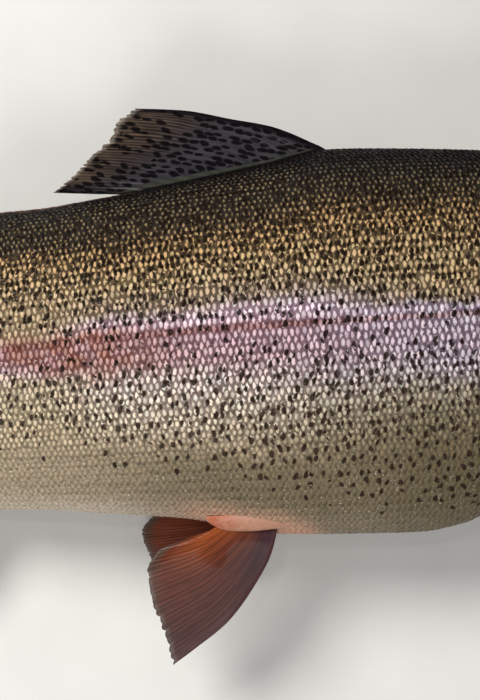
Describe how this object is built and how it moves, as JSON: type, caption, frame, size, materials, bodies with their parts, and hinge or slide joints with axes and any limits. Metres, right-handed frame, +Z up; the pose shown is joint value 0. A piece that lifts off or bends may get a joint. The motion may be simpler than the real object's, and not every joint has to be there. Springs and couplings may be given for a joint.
{
  "type": "rainbow trout",
  "caption": "Large deep-bodied rainbow trout, life size, lying on its left flank, with fins, gill covers, jaws, eyes and body lengths as separate pieces.",
  "frame": {"origin": "middle of the flat on which the left flank rests, below the dorsal fin", "axes": "+X to the snout, +Y to the back, +Z up and out of the right flank"},
  "size_m": [0.8742, 0.3345, 0.1375],
  "materials": {
    "body_skin": "wet scaled skin: near-black back, golden olive upper flank with black spots, rose-violet side band, silvery olive lower flank",
    "head_skin": "wet smooth skin, dark olive above, silvery and rose below",
    "gill_skin": "wet smooth skin over bone, rose and silver",
    "jaw_skin": "wet smooth skin, silvery grey",
    "fin_dark": "wet rayed fin, dark brown with black spots",
    "fin_red": "wet rayed fin, orange-red to brown with a greyish edge",
    "eye": "glossy eye with a dark pupil and a gold ring"
  },
  "bodies": {
    "root": {"head": "head_skin", "lower_jaw": "jaw_skin", "maxilla_right": "jaw_skin", "maxilla_left": "jaw_skin", "gill_cover_right": "gill_skin", "gill_cover_left": "gill_skin", "eye_right": "eye", "eye_left": "eye", "trunk_front": "body_skin", "trunk_middle": "body_skin", "trunk_rear": "body_skin", "tail_stalk": "body_skin", "dorsal_fin": "fin_dark", "adipose_fin": "fin_dark", "caudal_fin": "fin_dark", "anal_fin": "fin_red", "pelvic_fin_right": "fin_red", "pelvic_fin_left": "fin_red", "pectoral_fin_right": "fin_red", "pectoral_fin_left": "fin_red"}
  },
  "joints": []
}
